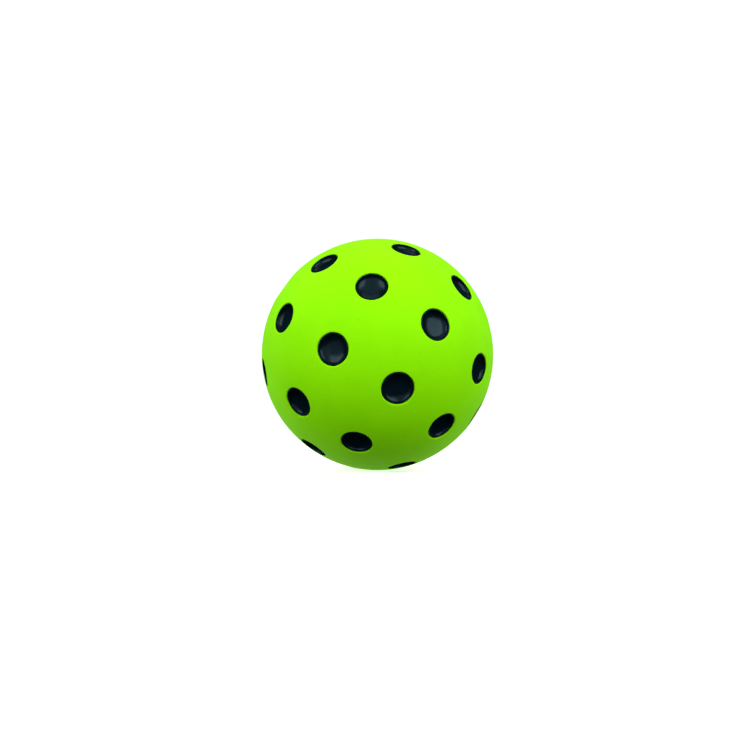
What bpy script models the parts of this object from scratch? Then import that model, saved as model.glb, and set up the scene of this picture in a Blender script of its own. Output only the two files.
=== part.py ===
"""Pickleball ball: two moulded half shells with 20 round holes each, joined at a lapped seam, and a
dished cup that closes each hole from inside.

Metres, +Z up. The origin is the ball's centre. The hole pattern turns about Y, the front half's pole
is at -Y, and the seam lies in the XZ plane. Each half is built about its own +Z, its pole, under an
empty that turns it into place.
"""

import math

import bmesh
import bpy
from mathutils import Matrix, Vector

# Ball
BALL_RADIUS = 0.037
WALL = 0.00165
GAP = 0.0003  # clearance between pieces that meet
INNER_RADIUS = BALL_RADIUS - WALL

# Holes. A ring has a polar angle from the half's pole, and azimuths that repeat every quarter turn.
HOLE_ANGULAR_RADIUS = math.radians(6.93)
HOLE_RADIUS = BALL_RADIUS * math.sin(HOLE_ANGULAR_RADIUS)
RIM_HEIGHT = BALL_RADIUS * math.cos(HOLE_ANGULAR_RADIUS)  # centre of the ball to the rim's plane
QUARTERS = 4
RINGS = (
    ("pole", 22.6, (14.1,)),
    ("middle", 51.6, (35.7, 75.7)),
    ("seam", 77.1, (11.3, 56.3)),
)

# Seam: the front half's spigot slides into the rear half's socket.
SEAM_EDGE = GAP / 2  # each half's outer edge stops this far from the seam plane
LAP = 0.0012  # how far the spigot reaches past the seam plane
SPIGOT_RADIUS = BALL_RADIUS - WALL / 2 - GAP / 2
SOCKET_RADIUS = SPIGOT_RADIUS + GAP

# Cup. Heights are from the plane of the hole's rim, and below it they are negative.
CUP_RADIUS = HOLE_RADIUS - GAP
CUP_WALL = 0.0006
LIP_RADIUS = CUP_RADIUS - CUP_WALL
LIP_Z = -0.0002
FLOOR_RADIUS = 0.0024
FLOOR_Z = -0.00155
FLANGE_RADIUS = 0.0056
FLANGE_INNER_Z = -0.00215  # the flange's upper face slopes as the shell's inner wall does
FLANGE_OUTER_Z = -0.00235
FLANGE_EDGE = 0.0006
UNDERSIDE_RADIUS = 0.0029
UNDERSIDE_Z = -0.00225

# Mesh fineness
SHELL_SEGMENTS = 40
ARC_STEP = math.radians(9)
HOLE_SEGMENTS = 16  # a multiple of 4, so that cutters and cups share their corners
FILLET_STEPS = 2
CUTTER_MARGIN = 0.003  # a cutter runs this far past both sides of the wall

SMOOTH_ANGLE = math.radians(30)


def clear_scene():
    for item in list(bpy.data.objects):
        bpy.data.objects.remove(item)


def plastic(name, colour, roughness):
    material = bpy.data.materials.new(name)
    material.use_nodes = True
    shader = material.node_tree.nodes["Principled BSDF"]
    shader.inputs["Base Color"].default_value = (*colour, 1.0)
    shader.inputs["Roughness"].default_value = roughness
    shader.inputs["Metallic"].default_value = 0.0
    material.diffuse_color = (*colour, 1.0)
    return material


def turned_mesh(name, profile, segments):
    """The closed solid of a profile of (radius, height) points turned about Z. Its ends are on the
    axis, or are joined by flat faces."""
    mesh = bpy.data.meshes.new(name)
    bm = bmesh.new()
    points = [bm.verts.new((radius, 0.0, height)) for radius, height in profile]
    line = [bm.edges.new(pair) for pair in zip(points, points[1:])]
    bmesh.ops.spin(
        bm,
        geom=points + line,
        axis=(0, 0, 1),
        cent=(0, 0, 0),
        angle=math.tau,
        steps=segments,
        use_merge=True,
    )
    bmesh.ops.remove_doubles(bm, verts=bm.verts, dist=1e-7)
    open_edges = [edge for edge in bm.edges if edge.is_boundary]
    if open_edges:
        bmesh.ops.holes_fill(bm, edges=open_edges, sides=segments)
    bmesh.ops.recalc_face_normals(bm, faces=bm.faces)
    bm.to_mesh(mesh)
    bm.free()
    return mesh


def arc(radius, last_angle):
    """Points from the pole to the polar angle last_angle, about ARC_STEP apart."""
    steps = round(last_angle / ARC_STEP)
    angles = [last_angle * i / steps for i in range(steps + 1)]
    return [(radius * math.sin(a), radius * math.cos(a)) for a in angles]


def shell_profile(edge):
    """The wall's section from the outer pole round the seam's edge to the inner pole. The edge's last
    point only gives the height at which the inner wall ends."""
    outer = arc(BALL_RADIUS, math.acos(SEAM_EDGE / BALL_RADIUS))
    step_height = edge[-1][1]
    inner = arc(INNER_RADIUS, math.acos(step_height / INNER_RADIUS))
    return outer + edge[:-1] + inner[::-1]


def spigot_edge():
    return [
        (SPIGOT_RADIUS, SEAM_EDGE),
        (SPIGOT_RADIUS, -LAP),
        (INNER_RADIUS, -LAP),
        (INNER_RADIUS, 0.0),
    ]


def socket_edge():
    depth = LAP + GAP
    return [
        (SOCKET_RADIUS, SEAM_EDGE),
        (SOCKET_RADIUS, depth),
        (INNER_RADIUS, depth),
    ]


def cup_profile():
    """The cup's section from its floor, up the dish, over the lip and round the flange to its
    underside. The dish's side is a quarter of an ellipse."""
    points = []
    for i in range(FILLET_STEPS + 1):
        turn = math.pi / 2 * i / FILLET_STEPS
        radius = FLOOR_RADIUS + (LIP_RADIUS - FLOOR_RADIUS) * math.sin(turn)
        points.append((radius, FLOOR_Z + (LIP_Z - FLOOR_Z) * (1 - math.cos(turn))))
    return points + [
        (CUP_RADIUS, LIP_Z),
        (CUP_RADIUS, FLANGE_INNER_Z),
        (FLANGE_RADIUS, FLANGE_OUTER_Z),
        (FLANGE_RADIUS, FLANGE_OUTER_Z - FLANGE_EDGE),
        (UNDERSIDE_RADIUS, UNDERSIDE_Z),
    ]


def holes():
    """(name, outward direction) of each hole of a half, about the half's own pole, +Z."""
    found = []
    for ring, polar_degrees, azimuths in RINGS:
        polar = math.radians(polar_degrees)
        number = 0
        for quarter in range(QUARTERS):
            for azimuth in azimuths:
                number += 1
                turn = math.radians(azimuth) + quarter * math.tau / QUARTERS
                across = Vector((math.cos(turn), math.sin(turn), 0.0)) * math.sin(polar)
                found.append((f"{ring}_cup_{number}", across + Vector((0, 0, math.cos(polar)))))
    return found


def facing(direction):
    """The rotation that turns +Z to a hole's outward direction."""
    return direction.to_track_quat("Z", "Y")


def hole_cutter(name, parent):
    """One prism through the wall at each hole, as one object that stays out of the model."""
    mesh = bpy.data.meshes.new(name)
    bm = bmesh.new()
    middle = BALL_RADIUS - WALL / 2
    for _, direction in holes():
        place = Matrix.Translation(direction * middle) @ facing(direction).to_matrix().to_4x4()
        bmesh.ops.create_cone(
            bm,
            cap_ends=True,
            segments=HOLE_SEGMENTS,
            radius1=HOLE_RADIUS,
            radius2=HOLE_RADIUS,
            depth=WALL + 2 * CUTTER_MARGIN,
            matrix=place,
        )
    bm.to_mesh(mesh)
    bm.free()
    cutter = add(name, mesh, parent)
    cutter.hide_render = True
    cutter.display_type = "WIRE"
    return cutter


def add(name, mesh, parent):
    item = bpy.data.objects.new(name, mesh)
    item.parent = parent
    bpy.context.scene.collection.objects.link(item)
    return item


def half_shell(name, edge, material, parent):
    mesh = turned_mesh(name, shell_profile(edge), SHELL_SEGMENTS)
    mesh.materials.append(material)
    mesh.shade_smooth()
    mesh.set_sharp_from_angle(angle=SMOOTH_ANGLE)
    shell = add(name, mesh, parent)
    cut = shell.modifiers.new("holes", "BOOLEAN")
    cut.operation = "DIFFERENCE"
    cut.object = hole_cutter(f"{name}_hole_cutter", parent)


def cup_mesh(material):
    mesh = turned_mesh("cup", cup_profile(), HOLE_SEGMENTS)
    mesh.materials.append(material)
    mesh.shade_smooth()
    mesh.set_sharp_from_angle(angle=SMOOTH_ANGLE)
    return mesh


def half_ball(half, edge, tilt, lime, cup):
    """An empty with the half's pole along its own +Z, and the half's shell and cups on it."""
    frame = add(f"{half}_half", None, None)
    frame.rotation_euler = (tilt, 0.0, 0.0)
    half_shell(f"{half}_half_shell", edge, lime, frame)
    for name, direction in holes():
        item = add(f"{half}_{name}", cup, frame)
        item.rotation_mode = "QUATERNION"
        item.rotation_quaternion = facing(direction)
        item.location = direction * RIM_HEIGHT


def build():
    clear_scene()
    lime = plastic("lime_plastic", (0.27, 0.87, 0.004), 0.42)
    navy = plastic("navy_plastic", (0.008, 0.014, 0.026), 0.35)
    cup = cup_mesh(navy)
    half_ball("front", spigot_edge(), math.radians(90), lime, cup)
    half_ball("rear", socket_edge(), math.radians(-90), lime, cup)


build()
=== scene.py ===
import math

import bmesh
import bpy
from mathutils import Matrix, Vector, noise
from mathutils.geometry import delaunay_2d_cdt


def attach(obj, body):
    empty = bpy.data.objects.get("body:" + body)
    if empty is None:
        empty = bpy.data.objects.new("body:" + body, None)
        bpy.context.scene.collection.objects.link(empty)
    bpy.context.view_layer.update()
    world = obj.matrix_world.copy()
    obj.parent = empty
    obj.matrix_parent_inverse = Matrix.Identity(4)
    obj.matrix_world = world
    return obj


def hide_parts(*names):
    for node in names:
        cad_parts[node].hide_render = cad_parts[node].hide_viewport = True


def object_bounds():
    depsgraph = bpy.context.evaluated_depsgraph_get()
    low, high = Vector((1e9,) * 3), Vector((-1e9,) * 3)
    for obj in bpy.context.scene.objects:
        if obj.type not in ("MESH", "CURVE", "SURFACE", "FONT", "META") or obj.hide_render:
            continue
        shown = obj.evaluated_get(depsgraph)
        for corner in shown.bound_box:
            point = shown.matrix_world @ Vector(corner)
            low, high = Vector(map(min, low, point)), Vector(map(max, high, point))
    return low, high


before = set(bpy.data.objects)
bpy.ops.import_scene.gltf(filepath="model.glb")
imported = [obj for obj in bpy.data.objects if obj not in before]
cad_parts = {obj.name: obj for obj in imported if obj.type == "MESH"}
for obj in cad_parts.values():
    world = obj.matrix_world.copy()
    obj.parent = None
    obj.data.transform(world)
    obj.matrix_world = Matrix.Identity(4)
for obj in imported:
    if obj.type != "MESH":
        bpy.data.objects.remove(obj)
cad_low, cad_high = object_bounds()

# The ball, in metres. Its size is the frame's.
BALL_RADIUS = min(cad_high - cad_low) / 2
WALL = 0.00165
INNER_RADIUS = BALL_RADIUS - WALL
HOLE_RADIUS = 0.004464

# Rims and seam
RIM_ROUND = 0.00022  # radius of the rounded outer edge of a hole
RIM_STEPS = 5
INNER_CHAMFER = 0.0001
WOBBLE = 0.00007  # how far a moulded rim strays from a true circle
WOBBLE_SCALE = 420.0  # its lumps per metre
SEAM_SLIT = 0.000005  # half the width of the joint between the halves
SEAM_ROUND = 0.00014  # radius of the rounded edge on each side of the joint
SEAM_STEPS = 3
LAP = 0.0012
LAP_GAP = 0.0003
SPIGOT_RADIUS = BALL_RADIUS - WALL / 2 - LAP_GAP / 2
SOCKET_RADIUS = SPIGOT_RADIUS + LAP_GAP

# Cups. Heights are from the plane of the hole's rim.
CUP_CLEARANCE = 0.00024  # the dark groove between a cup and its hole
LIP_Z = -0.00012
LIP_WIDTH = 0.00012
LIP_ROUND = 0.00004
DISH_RADIUS = HOLE_RADIUS - CUP_CLEARANCE - LIP_WIDTH
DISH_Z = -0.0018
DISH_POWER = 2.6  # the dish's section is a superellipse: 2 is an ellipse, and more is squarer
DISH_STEPS = 20
CALM_RADIUS = 0.0025  # the dish is truly round inside this radius
FLANGE_RADIUS = 0.0056
FLANGE_INNER_Z = -0.00215
FLANGE_OUTER_Z = -0.00235
FLANGE_EDGE = 0.0006
UNDERSIDE_RADIUS = 0.0029
UNDERSIDE_Z = -0.00232

# Mesh fineness
HOLE_SEGMENTS = 64
SEAM_SEGMENTS = 256
OUTER_SPACING = 0.0009
INNER_SPACING = 0.0022
RING_GAPS = (0.0004, 0.0009, 0.0015)  # rings of points round each hole, from its rim
RING_MARGIN = 0.6  # the spread points keep this many spacings off the outermost ring
SEAM_MARGIN = 0.7  # and this many off the seam
MERGE_DISTANCE = 1e-7  # in the flattened cap, whose radius is about 1
GOLDEN_TURN = math.pi * (3 - math.sqrt(5))
SHARP_ANGLE = math.radians(38)
CORNER_DIGITS = 6  # CAD corners that agree to this many decimals of a metre are one

SIDES = {"front": 1, "rear": -1}  # the front half's pole is at -Y, and the rear half's at +Y


# Geometry, in a half's own frame: its pole is +Z, and its seam lies at height 0.


def to_half(point, side):
    return Vector((point.x, side * point.z, -side * point.y))


def to_world(point, side):
    return Vector((point.x, -side * point.z, side * point.y))


def hole_axis(node):
    """A cup is round, so the mean of its corners lies on its axis. Repeated corners count once."""
    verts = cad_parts[node].data.vertices
    corners = {tuple(round(c, CORNER_DIGITS) for c in vert.co) for vert in verts}
    return sum((Vector(c) for c in corners), Vector()).normalized()


def across(axis):
    """Two directions square to a hole's axis and to each other."""
    first = axis.orthogonal().normalized()
    return first, axis.cross(first)


def ring(axis, radius, height, wobble=0.0):
    """Points of a circle round a hole's axis. The same wobble gives the same stray on every ring."""
    first, second = across(axis)
    points = []
    for i in range(HOLE_SEGMENTS):
        turn = math.tau * i / HOLE_SEGMENTS
        out = first * math.cos(turn) + second * math.sin(turn)
        rim = axis * BALL_RADIUS + out * HOLE_RADIUS
        stray = wobble * noise.noise(rim * WOBBLE_SCALE)
        points.append(axis * height + out * (radius + stray))
    return points


def height_on(sphere_radius, radius):
    return math.sqrt(sphere_radius**2 - radius**2)


def circle(radius, height):
    """Points of a circle round the half's own pole."""
    turns = [math.tau * i / SEAM_SEGMENTS for i in range(SEAM_SEGMENTS)]
    return [Vector((radius * math.cos(t), radius * math.sin(t), height)) for t in turns]


def spiral(last_polar, spacing):
    """Unit vectors spread evenly over a cap, as the seeds of a sunflower are."""
    drop = 1 - math.cos(last_polar)
    count = int(math.tau * drop / spacing**2)
    for i in range(count):
        height = 1 - drop * (i + 0.5) / count
        flat = math.sqrt(1 - height**2)
        turn = i * GOLDEN_TURN
        yield Vector((flat * math.cos(turn), flat * math.sin(turn), height))


def cap_triangles(radius, axes, rim_radius, seam_height, spacing):
    """A mesh of the cap of a sphere, open at each hole and ending at the seam. Returns its points, of
    which the first are the seam's, its triangles, and the point numbers of each hole's rim."""
    step = spacing / radius
    seam = [p.normalized() for p in circle(height_on(radius, seam_height), seam_height)]
    last_polar = math.acos(seam_height / radius)
    units = list(seam)
    rims = []
    rim_height = height_on(radius, rim_radius)
    rim_angle = math.asin(rim_radius / radius)
    for axis in axes:
        rims.append(range(len(units), len(units) + HOLE_SEGMENTS))
        units += [p.normalized() for p in ring(axis, rim_radius, rim_height)]
    for axis in axes:
        for gap in RING_GAPS:
            angle = rim_angle + gap / radius
            units += [p.normalized() for p in ring(axis, math.sin(angle), math.cos(angle))]
    keep_out = math.cos(rim_angle + RING_GAPS[-1] / radius + RING_MARGIN * step)
    lowest = math.cos(last_polar - SEAM_MARGIN * step)
    for point in spiral(last_polar, step):
        if point.z > lowest and all(point.dot(axis) < keep_out for axis in axes):
            units.append(point)
    flat = [Vector((p.x, p.y)) / (1 + p.z) for p in units]  # stereographic, so circles stay circles
    loops = [range(SEAM_SEGMENTS)] + rims
    edges = [(loop[i - 1], loop[i]) for loop in loops for i in range(len(loop))]
    _, _, faces, sources, _, _ = delaunay_2d_cdt(flat, edges, [], 0, MERGE_DISTANCE)
    triangles = []
    for face in faces:
        corners = [sources[v][0] for v in face]
        in_hole = any(all(c in rim for c in corners) for rim in rims)
        if not in_hole:
            triangles.append(corners)
    return [p * radius for p in units], triangles, rims


def bridge(bm, rings):
    """Quads between each ring of points and the next."""
    for low, high in zip(rings, rings[1:]):
        for i in range(len(low)):
            bm.faces.new((low[i - 1], low[i], high[i], high[i - 1]))


def new_verts(bm, points):
    return [bm.verts.new(p) for p in points]


def finished(name, bm, material):
    bmesh.ops.recalc_face_normals(bm, faces=bm.faces)
    mesh = bpy.data.meshes.new(name)
    bm.to_mesh(mesh)
    bm.free()
    mesh.materials.append(material)
    mesh.shade_smooth()
    mesh.set_sharp_from_angle(angle=SHARP_ANGLE)
    item = bpy.data.objects.new(name, mesh)
    bpy.context.scene.collection.objects.link(item)
    return item


# Half shells


def rim_profile():
    """(radius, height) down a hole's wall, from the rounded outer edge to the inner one."""
    start = HOLE_RADIUS + RIM_ROUND
    centre = height_on(BALL_RADIUS, start) - RIM_ROUND
    points = []
    for i in range(1, RIM_STEPS + 1):
        turn = math.pi / 2 * i / RIM_STEPS
        points.append((start - RIM_ROUND * math.sin(turn), centre + RIM_ROUND * math.cos(turn)))
    points.append((HOLE_RADIUS, height_on(INNER_RADIUS, HOLE_RADIUS) + INNER_CHAMFER))
    return points


def seam_profile(side):
    """(radius, height) from the rounded outer edge of the seam to where the inner wall ends."""
    points = []
    for i in range(1, SEAM_STEPS + 1):
        turn = math.pi / 2 * i / SEAM_STEPS
        radius = BALL_RADIUS - SEAM_ROUND * (1 - math.cos(turn))
        points.append((radius, SEAM_SLIT + SEAM_ROUND * (1 - math.sin(turn))))
    if side == SIDES["front"]:
        lap = [(SPIGOT_RADIUS, SEAM_SLIT), (SPIGOT_RADIUS, -LAP), (INNER_RADIUS, -LAP)]
    else:
        lap = [(SOCKET_RADIUS, SEAM_SLIT), (SOCKET_RADIUS, LAP + LAP_GAP)]
    return points + lap


def skin(bm, radius, axes, rim_radius, seam_height, spacing):
    """Adds one skin of a half. Returns the verts of each hole's rim, and those of the seam."""
    points, triangles, rims = cap_triangles(radius, axes, rim_radius, seam_height, spacing)
    verts = new_verts(bm, points)
    for corners in triangles:
        bm.faces.new([verts[c] for c in corners])
    return [[verts[i] for i in rim] for rim in rims], verts[:SEAM_SEGMENTS]


def half_shell(name, side, axes, material):
    """The moulded half: outer skin, inner skin, rounded rims, hole walls and lapped seam edge."""
    outer_rim = HOLE_RADIUS + RIM_ROUND
    outer_end = SEAM_SLIT + SEAM_ROUND
    inner_rim = HOLE_RADIUS + INNER_CHAMFER
    inner_end = 0.0 if side == SIDES["front"] else LAP + LAP_GAP
    bm = bmesh.new()
    outer_rims, outer_seam = skin(bm, BALL_RADIUS, axes, outer_rim, outer_end, OUTER_SPACING)
    inner_rims, inner_seam = skin(bm, INNER_RADIUS, axes, inner_rim, inner_end, INNER_SPACING)
    for axis, outer, inner in zip(axes, outer_rims, inner_rims):
        wall = [new_verts(bm, ring(axis, r, h, WOBBLE)) for r, h in rim_profile()]
        bridge(bm, [outer, *wall, inner])
    edge = [new_verts(bm, circle(r, h)) for r, h in seam_profile(side)]
    bridge(bm, [outer_seam, *edge, inner_seam])
    for vert in bm.verts:
        vert.co = to_world(vert.co, side)
    return finished(name, bm, material)


# Cups


def cup_profile():
    """(radius, height from the rim's plane) from near the dish's middle, up the dish, over the rounded
    lip and round the flange to the underside's edge."""
    points = []
    top = LIP_Z - LIP_ROUND
    for i in range(1, DISH_STEPS + 1):
        turn = math.pi / 2 * i / DISH_STEPS
        out = math.sin(turn) ** (2 / DISH_POWER)
        down = max(0.0, math.cos(turn)) ** (2 / DISH_POWER)
        points.append((DISH_RADIUS * out, top + (DISH_Z - top) * down))
    outside = HOLE_RADIUS - CUP_CLEARANCE
    return points + [
        (DISH_RADIUS + LIP_ROUND, LIP_Z),
        (outside - LIP_ROUND, LIP_Z),
        (outside, top),
        (outside, FLANGE_INNER_Z),
        (FLANGE_RADIUS, FLANGE_OUTER_Z),
        (FLANGE_RADIUS, FLANGE_OUTER_Z - FLANGE_EDGE),
        (UNDERSIDE_RADIUS, UNDERSIDE_Z),
    ]


def cup(name, axis, side, material):
    """The dished cup. Its wall strays as the rim round it does. Its middle and flange stay round."""
    rim_height = height_on(BALL_RADIUS, HOLE_RADIUS)
    bm = bmesh.new()
    rings = []
    for radius, z in cup_profile():
        lean = max(0.0, (radius - CALM_RADIUS) / (HOLE_RADIUS - CALM_RADIUS))
        stray = WOBBLE * lean if radius < HOLE_RADIUS else 0.0
        rings.append(new_verts(bm, ring(axis, radius, rim_height + z, stray)))
    bridge(bm, rings)
    middles = (rim_height + DISH_Z, rim_height + UNDERSIDE_Z)
    for edge, height in zip((rings[0], rings[-1]), middles):
        middle = bm.verts.new(axis * height)
        for i in range(HOLE_SEGMENTS):
            bm.faces.new((edge[i - 1], edge[i], middle))
    for vert in bm.verts:
        vert.co = to_world(vert.co, side)
    return finished(name, bm, material)


# Materials. Noise scales are lumps per metre, and colours are linear.


NOISE_RANGE = (0.3, 0.7)  # nearly all of a noise's values lie in here
LIME_DARK = (0.247, 0.82, 0.0006)
LIME_LIGHT = (0.274, 0.88, 0.001)
LIME_SPECK = (0.215, 0.74, 0.0008)
LIME_CLOUD_SCALE = 70.0
LIME_SPECK_SCALE = 1900.0
LIME_SPECK_RANGE = (0.62, 0.8)  # only the noise's peaks are specks
LIME_SPECK_STRENGTH = 0.55
LIME_GLOSS_SCALE = 220.0
LIME_ROUGHNESS = (0.46, 0.6)
LIME_SPECULAR = 0.02
PEEL_SCALE = 520.0
PEEL_HEIGHT = 0.00004
GRAIN_SCALE = 3200.0
GRAIN_HEIGHT = 0.000012
NAVY_DARK = (0.001, 0.0052, 0.0085)
NAVY_LIGHT = (0.0016, 0.0085, 0.0135)
NAVY_CLOUD_SCALE = 260.0
NAVY_GLOSS_SCALE = 500.0
NAVY_ROUGHNESS = (0.16, 0.26)
NAVY_SPECULAR = 0.45
NAVY_SPECULAR_TINT = (0.5, 0.86, 1.0)
NAVY_PEEL_SCALE = 900.0
NAVY_PEEL_HEIGHT = 0.00003
PAPER_DARK = (0.88, 0.88, 0.88)
PAPER_LIGHT = (0.9, 0.9, 0.9)
PAPER_CLOUD_SCALE = 30.0
PAPER_ROUGHNESS = 0.9
WHITE = (1.0, 1.0, 1.0)


class Nodes:
    """A material's node tree, and short ways to add to it."""

    def __init__(self, name):
        self.material = bpy.data.materials.new(name)
        self.material.use_nodes = True
        self.tree = self.material.node_tree
        self.shader = self.tree.nodes["Principled BSDF"]
        self.place = self.tree.nodes.new("ShaderNodeTexCoord").outputs["Object"]

    def link(self, source, target):
        self.tree.links.new(source, target)

    def noise(self, scale, detail=2.0):
        node = self.tree.nodes.new("ShaderNodeTexNoise")
        node.inputs["Scale"].default_value = scale
        node.inputs["Detail"].default_value = detail
        self.link(self.place, node.inputs["Vector"])
        return node.outputs["Fac"]

    def spread(self, value, source=NOISE_RANGE, target=(0.0, 1.0)):
        """The value with its source range stretched to the target range."""
        node = self.tree.nodes.new("ShaderNodeMapRange")
        node.inputs["From Min"].default_value, node.inputs["From Max"].default_value = source
        node.inputs["To Min"].default_value, node.inputs["To Max"].default_value = target
        self.link(value, node.inputs["Value"])
        return node.outputs["Result"]

    def mix(self, factor, first, second):
        node = self.tree.nodes.new("ShaderNodeMix")
        node.data_type = "RGBA"
        for socket, colour in (("A", first), ("B", second)):
            target = [s for s in node.inputs if s.name == socket and s.type == "RGBA"][0]
            if isinstance(colour, tuple):
                target.default_value = (*colour, 1.0)
            else:
                self.link(colour, target)
        factor_in = [s for s in node.inputs if s.name == "Factor" and s.type == "VALUE"][0]
        self.link(factor, factor_in)
        return [s for s in node.outputs if s.type == "RGBA"][0]

    def bump(self, height, distance, normal=None):
        node = self.tree.nodes.new("ShaderNodeBump")
        node.inputs["Distance"].default_value = distance
        node.inputs["Strength"].default_value = 1.0
        self.link(height, node.inputs["Height"])
        if normal is not None:
            self.link(normal, node.inputs["Normal"])
        return node.outputs["Normal"]


def lime_plastic():
    """Matt moulded plastic: faint cloudy tone, fine pigment specks, orange peel and tooling grain."""
    nodes = Nodes("lime_plastic")
    cloud = nodes.spread(nodes.noise(LIME_CLOUD_SCALE, detail=3.0))
    tone = nodes.mix(cloud, LIME_DARK, LIME_LIGHT)
    speck_noise = nodes.noise(LIME_SPECK_SCALE, detail=1.0)
    specks = nodes.spread(speck_noise, LIME_SPECK_RANGE, (0.0, LIME_SPECK_STRENGTH))
    nodes.link(nodes.mix(specks, tone, LIME_SPECK), nodes.shader.inputs["Base Color"])
    gloss = nodes.noise(LIME_GLOSS_SCALE, detail=4.0)
    roughness = nodes.spread(gloss, target=LIME_ROUGHNESS)
    nodes.link(roughness, nodes.shader.inputs["Roughness"])
    nodes.shader.inputs["Specular IOR Level"].default_value = LIME_SPECULAR
    peel = nodes.bump(nodes.noise(PEEL_SCALE), PEEL_HEIGHT)
    grain = nodes.bump(nodes.noise(GRAIN_SCALE), GRAIN_HEIGHT, peel)
    nodes.link(grain, nodes.shader.inputs["Normal"])
    return nodes.material


def navy_plastic():
    """Satin near-black navy, a little uneven in tone and gloss."""
    nodes = Nodes("navy_plastic")
    cloud = nodes.spread(nodes.noise(NAVY_CLOUD_SCALE, detail=3.0))
    nodes.link(nodes.mix(cloud, NAVY_DARK, NAVY_LIGHT), nodes.shader.inputs["Base Color"])
    gloss = nodes.noise(NAVY_GLOSS_SCALE, detail=4.0)
    roughness = nodes.spread(gloss, target=NAVY_ROUGHNESS)
    nodes.link(roughness, nodes.shader.inputs["Roughness"])
    nodes.shader.inputs["Specular IOR Level"].default_value = NAVY_SPECULAR
    nodes.shader.inputs["Specular Tint"].default_value = (*NAVY_SPECULAR_TINT, 1.0)
    peel = nodes.bump(nodes.noise(NAVY_PEEL_SCALE, detail=3.0), NAVY_PEEL_HEIGHT)
    nodes.link(peel, nodes.shader.inputs["Normal"])
    return nodes.material


# The ball


def make_ball():
    lime = lime_plastic()
    navy = navy_plastic()
    for half, side in SIDES.items():
        of_half = [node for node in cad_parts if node.startswith(half)]
        nodes = sorted(node for node in of_half if "_cup_" in node)
        axes = [to_half(hole_axis(node), side) for node in nodes]
        shell_node = f"{half}_half_shell"
        shell = half_shell(f"{shell_node}_moulding", side, axes, lime)
        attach(shell, "root")
        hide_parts(shell_node)
        for node, axis in zip(nodes, axes):
            item = cup(f"{node}_moulding", axis, side, navy)
            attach(item, "root")
            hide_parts(node)


# Studio


FLOOR_RADIUS = 3.0
FLOOR_SEGMENTS = 96
FLOOR_GLOW = 0.65  # the floor gives off light, as a light table does, and so looks white
SKY_STRENGTH = 1.08
SKY_EDGES = (-0.26, -0.02)  # the dome fades in between these sines of the elevation
BACKDROP_STRENGTH = 3.6  # light from low behind the ball
BACKDROP_EDGES = (0.2, 0.9)  # it fades in between these shares of straight back, +Y
SOFTBOX_DISTANCE = 1.0
SOFTBOXES = (  # name, azimuth from the front, elevation and angle across in degrees, brightness
    ("front_softbox", 0, 25, 75, 0.36),
    ("right_softbox", 42, 25, 45, 1.55),
    ("left_softbox", -52, 28, 36, 1.75),
    ("low_softbox", -46, -2, 36, 0.2),
    ("top_softbox", 0, 84, 34, 0.35),
)

VIEW_AZIMUTH = math.radians(-3.2)
VIEW_ELEVATION = math.radians(-7.92)
VIEW_DISTANCE = 4.7 * BALL_RADIUS
LENS = 25.52
BALL_RIGHT = 0.003333  # from the frame's middle to the ball's, as a share of the frame's side
BALL_UP = 0.027467
CLIP_START = 0.01
CLIP_END = 4 * FLOOR_RADIUS


def make_floor():
    """A pale floor that takes the ball's shadow. It neither lights the ball nor shades it."""
    bm = bmesh.new()
    bmesh.ops.create_circle(bm, cap_ends=True, segments=FLOOR_SEGMENTS, radius=FLOOR_RADIUS)
    mesh = bpy.data.meshes.new("floor")
    bm.to_mesh(mesh)
    bm.free()
    nodes = Nodes("floor_paper")
    tone = nodes.mix(nodes.noise(PAPER_CLOUD_SCALE), PAPER_DARK, PAPER_LIGHT)
    nodes.link(tone, nodes.shader.inputs["Base Color"])
    nodes.shader.inputs["Roughness"].default_value = PAPER_ROUGHNESS
    nodes.shader.inputs["Specular IOR Level"].default_value = 0.0
    nodes.shader.inputs["Emission Color"].default_value = (*WHITE, 1.0)
    nodes.shader.inputs["Emission Strength"].default_value = FLOOR_GLOW
    mesh.materials.append(nodes.material)
    floor = bpy.data.objects.new("floor", mesh)
    floor.location.z = cad_low.z
    floor.visible_diffuse = False
    floor.visible_glossy = False
    floor.visible_shadow = False
    bpy.context.scene.collection.objects.link(floor)


def direction(azimuth, elevation):
    """The unit vector at an azimuth from the front, -Y, turning towards +X, and an elevation."""
    flat = math.cos(elevation)
    return Vector((math.sin(azimuth) * flat, -math.cos(azimuth) * flat, math.sin(elevation)))


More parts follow.
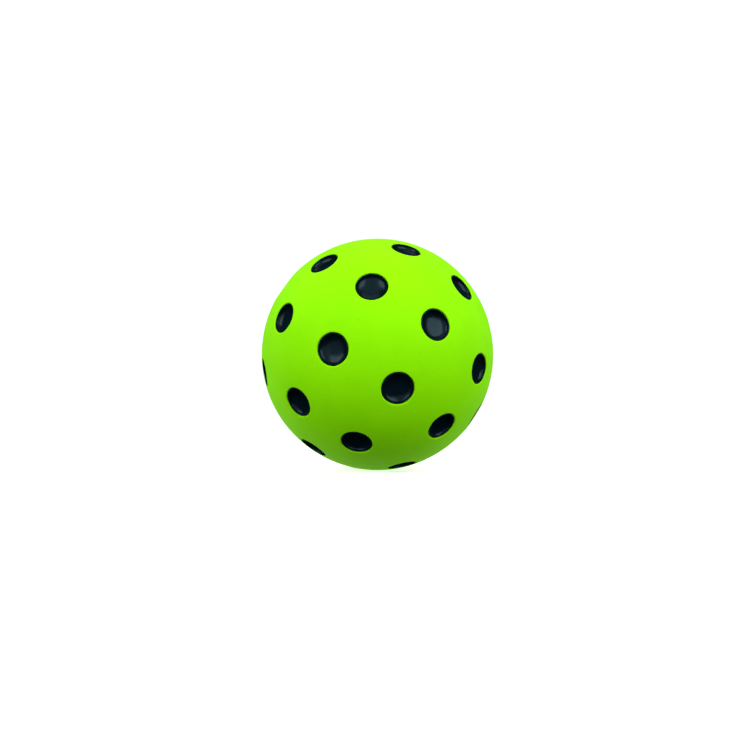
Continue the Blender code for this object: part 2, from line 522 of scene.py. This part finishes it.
def make_sky():
    """A white studio dome, dark below the horizon but for a lit backdrop behind the ball. It lights
    the ball and doesn't mirror in it: the softboxes make the highlights."""
    world = bpy.data.worlds.new("studio")
    bpy.context.scene.world = world
    world.use_nodes = True
    world.cycles_visibility.glossy = False
    tree = world.node_tree
    place = tree.nodes.new("ShaderNodeTexCoord")
    split = tree.nodes.new("ShaderNodeSeparateXYZ")
    tree.links.new(place.outputs["Generated"], split.inputs["Vector"])

    def fade(axis, edges, top):
        node = tree.nodes.new("ShaderNodeMapRange")
        node.interpolation_type = "SMOOTHSTEP"
        node.inputs["From Min"].default_value, node.inputs["From Max"].default_value = edges
        node.inputs["To Max"].default_value = top
        tree.links.new(split.outputs[axis], node.inputs["Value"])
        return node.outputs["Result"]

    strength = tree.nodes.new("ShaderNodeMix")
    tree.links.new(fade("Z", SKY_EDGES, 1.0), strength.inputs["Factor"])
    tree.links.new(fade("Y", BACKDROP_EDGES, BACKDROP_STRENGTH), strength.inputs["A"])
    strength.inputs["B"].default_value = SKY_STRENGTH
    tree.links.new(strength.outputs["Result"], tree.nodes["Background"].inputs["Strength"])
    tree.nodes["Background"].inputs["Color"].default_value = (*WHITE, 1.0)


def make_softboxes():
    """Square lights that face the ball. Each spans its angle across as seen from there. Brightness
    is radiance, so a light's power grows with its area."""
    middle = (cad_low + cad_high) / 2
    for name, azimuth, elevation, across_angle, brightness in SOFTBOXES:
        data = bpy.data.lights.new(name, "AREA")
        data.size = 2 * SOFTBOX_DISTANCE * math.tan(math.radians(across_angle) / 2)
        data.energy = brightness * math.pi * data.size**2
        out = direction(math.radians(azimuth), math.radians(elevation))
        softbox = bpy.data.objects.new(name, data)
        softbox.location = middle + out * SOFTBOX_DISTANCE
        softbox.rotation_euler = out.to_track_quat("Z", "Y").to_euler()
        softbox.visible_camera = False
        bpy.context.scene.collection.objects.link(softbox)


def make_camera():
    data = bpy.data.cameras.new("camera")
    data.lens = LENS
    data.shift_x = -BALL_RIGHT
    data.shift_y = -BALL_UP
    data.clip_start = CLIP_START
    data.clip_end = CLIP_END
    camera = bpy.data.objects.new("camera", data)
    back = direction(VIEW_AZIMUTH, VIEW_ELEVATION)
    camera.location = (cad_low + cad_high) / 2 + back * VIEW_DISTANCE
    camera.rotation_euler = (-back).to_track_quat("-Z", "Y").to_euler()
    bpy.context.scene.collection.objects.link(camera)
    bpy.context.scene.camera = camera


make_ball()
make_floor()
make_sky()
make_softboxes()
make_camera()
bpy.context.scene.view_settings.view_transform = "Standard"
